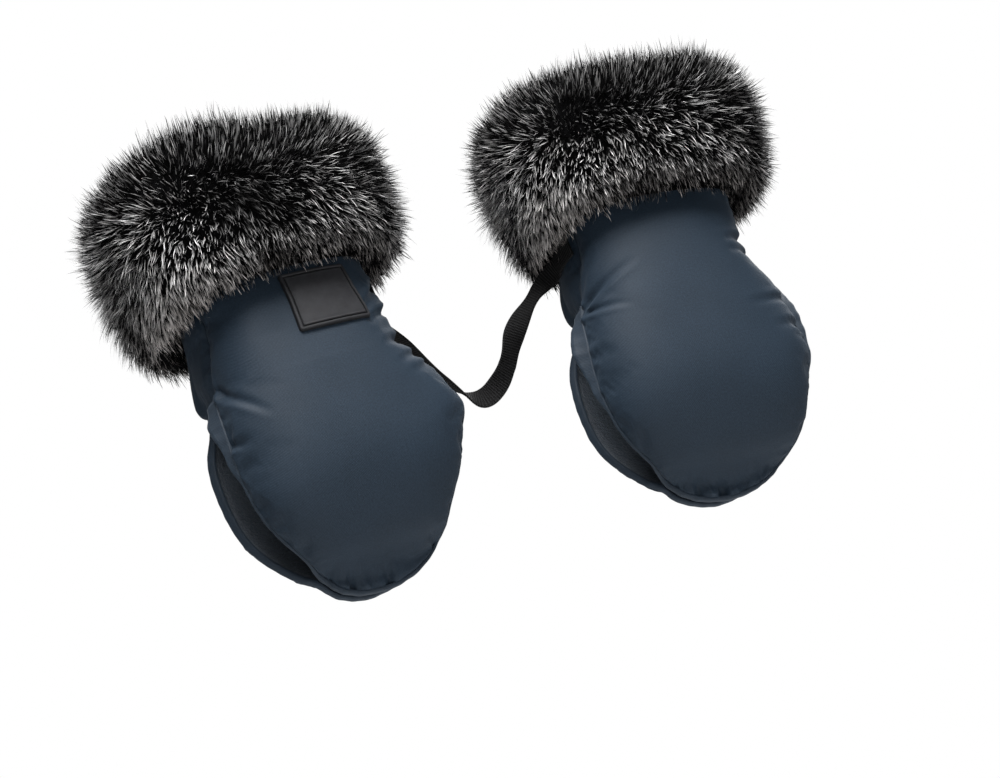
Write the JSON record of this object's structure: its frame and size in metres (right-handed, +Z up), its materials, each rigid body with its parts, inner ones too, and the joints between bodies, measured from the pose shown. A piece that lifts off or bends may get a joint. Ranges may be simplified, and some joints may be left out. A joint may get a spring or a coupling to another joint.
{
  "type": "stroller hand muff",
  "caption": "Padded hand muffs for a stroller handlebar, with faux-fur cuffs, side slits for the bar, a hinged rear flap on each and a webbing strap between them.",
  "frame": {"origin": "on the handlebar's centre line, midway between the muffs", "axes": "+X along the handlebar, from the left muff to the right one; +Z up along the muffs towards their cuffs; the front panels face -Y"},
  "size_m": [0.4892, 0.1764, 0.3134],
  "materials": {
    "shell_cloth": "slate blue-grey water-repellent cloth with a soft satin sheen",
    "lining_fleece": "matt charcoal fleece",
    "wadding": "off-white polyester wadding",
    "binding_tape": "slate blue-grey folded tape",
    "fur": "long black faux fur with light grey tips",
    "snap_metal": "gunmetal lacquer",
    "rubber": "matt black moulded rubber",
    "webbing": "black ribbed webbing"
  },
  "bodies": {
    "left_muff": {"left_front_lining": "lining_fleece", "left_front_padding": "wadding", "left_front_shell": "shell_cloth", "left_back_lining": "lining_fleece", "left_back_padding": "wadding", "left_back_shell": "shell_cloth", "left_front_edge": "binding_tape", "left_fur_cuff": "fur", "left_snap_stud_1": "snap_metal", "left_snap_stud_2": "snap_metal", "left_snap_stud_3": "snap_metal", "left_patch": "rubber", "connecting_strap": "webbing"},
    "left_flap": {"left_flap_lining": "lining_fleece", "left_flap_padding": "wadding", "left_flap_shell": "shell_cloth", "left_flap_edge": "binding_tape", "left_snap_socket_1": "snap_metal", "left_snap_socket_2": "snap_metal", "left_snap_socket_3": "snap_metal"},
    "right_muff": {"right_front_lining": "lining_fleece", "right_front_padding": "wadding", "right_front_shell": "shell_cloth", "right_back_lining": "lining_fleece", "right_back_padding": "wadding", "right_back_shell": "shell_cloth", "right_front_edge": "binding_tape", "right_fur_cuff": "fur", "right_snap_stud_1": "snap_metal", "right_snap_stud_2": "snap_metal", "right_snap_stud_3": "snap_metal"},
    "right_flap": {"right_flap_lining": "lining_fleece", "right_flap_padding": "wadding", "right_flap_shell": "shell_cloth", "right_flap_edge": "binding_tape", "right_snap_socket_1": "snap_metal", "right_snap_socket_2": "snap_metal", "right_snap_socket_3": "snap_metal"}
  },
  "joints": [
    {"name": "left_flap_hinge", "type": "hinge", "parent": "left_muff", "child": "left_flap", "pos_m": [-0.13464, 0.04364, 0.04872], "axis": [0.9949, 0.0696, 0.0732], "range_deg": [0, 110]},
    {"name": "right_muff_slide", "type": "slide", "parent": "left_muff", "child": "right_muff", "axis": [1, 0, 0], "range_m": [-0.03, 0.03], "deforming": ["connecting_strap"]},
    {"name": "right_flap_hinge", "type": "hinge", "parent": "right_muff", "child": "right_flap", "pos_m": [0.13464, 0.04364, 0.04872], "axis": [0.9949, -0.0696, -0.0732], "range_deg": [0, 110]}
  ]
}
